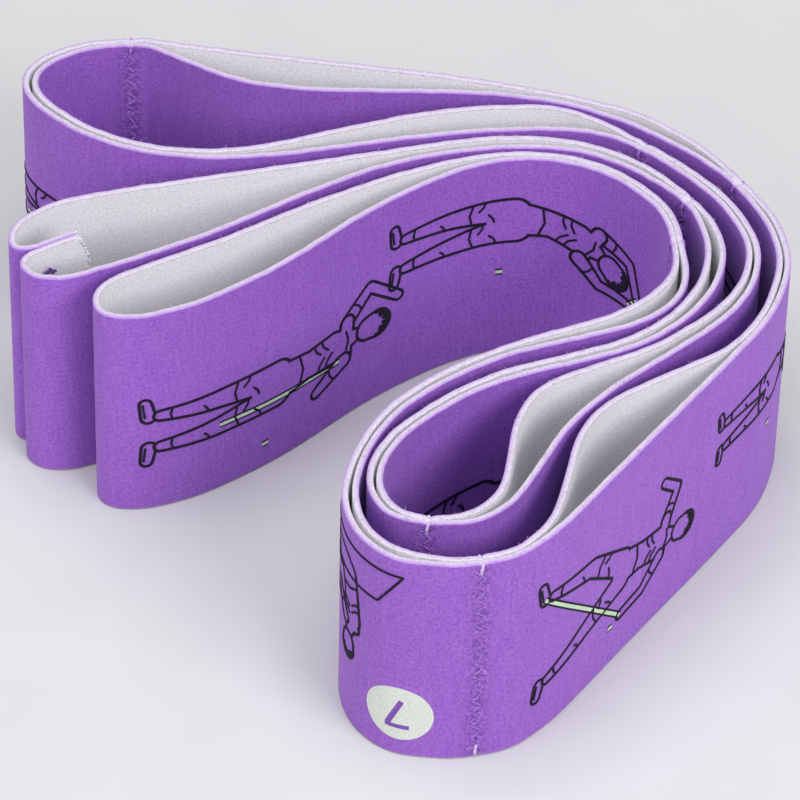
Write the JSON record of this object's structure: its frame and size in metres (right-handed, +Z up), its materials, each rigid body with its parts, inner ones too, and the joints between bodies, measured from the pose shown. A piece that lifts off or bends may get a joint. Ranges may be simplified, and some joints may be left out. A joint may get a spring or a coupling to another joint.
{
  "type": "stretching strap",
  "caption": "Elastic webbing strap sewn into a row of hand and foot loops, folded into a nested coil that stands on its edge.",
  "frame": {"origin": "centre of the coil's outline, on the surface that the webbing's lower edge stands on", "axes": "+Z up along the webbing's width, +X along the coil towards its large bend, +Y from the front fold towards the back fold"},
  "size_m": [0.1209, 0.1207, 0.04],
  "materials": {
    "webbing": "matte elastic webbing, purple printed face, pale grey back and edges",
    "thread": "satin polyester sewing thread"
  },
  "bodies": {
    "nest": {"loop_6_ply_a": "webbing", "loop_6_ply_b": "webbing", "loop_3_ply_a": "webbing", "loop_3_ply_b": "webbing", "loop_2_ply_a": "webbing", "loop_2_ply_b": "webbing", "seam_6_7_thread": "thread", "seam_5_6_thread": "thread", "seam_3_4_thread": "thread", "seam_2_3_thread": "thread", "seam_1_2_thread": "thread"},
    "front_run": {"loop_7_ply_a": "webbing", "loop_7_ply_b": "webbing", "seam_7_8_thread": "thread"},
    "front_end": {"loop_8_ply_a": "webbing", "loop_8_ply_b": "webbing"},
    "rear_end": {"loop_1_ply_a": "webbing", "loop_1_ply_b": "webbing", "closing_seam_thread": "thread"},
    "back_fold": {"loop_5_ply_a": "webbing", "loop_5_ply_b": "webbing", "loop_4_ply_a": "webbing", "loop_4_ply_b": "webbing", "seam_4_5_thread": "thread"}
  },
  "joints": [
    {"name": "front_run_peel", "type": "hinge", "parent": "nest", "child": "front_run", "pos_m": [0.01096, -0.05914, 0.02], "axis": [0, 0, 1], "range_deg": [0, 15]},
    {"name": "front_end_swing", "type": "hinge", "parent": "front_run", "child": "front_end", "pos_m": [0.04273, 0.01588, 0.02], "axis": [0, 0, 1], "range_deg": [0, 30]},
    {"name": "rear_end_follow", "type": "hinge", "parent": "nest", "child": "rear_end", "pos_m": [0.04346, 0.02522, 0.02], "axis": [0, 0, 1], "range_deg": [0, 6]},
    {"name": "back_fold_swing", "type": "hinge", "parent": "nest", "child": "back_fold", "pos_m": [0.05156, 0.02969, 0.02], "axis": [0, 0, 1], "range_deg": [-18, 0]}
  ],
  "couplings": [
    {"joint": "front_run_peel", "follows": "front_end_swing", "ratio": 0.5},
    {"joint": "rear_end_follow", "follows": "front_end_swing", "ratio": 0.2}
  ]
}
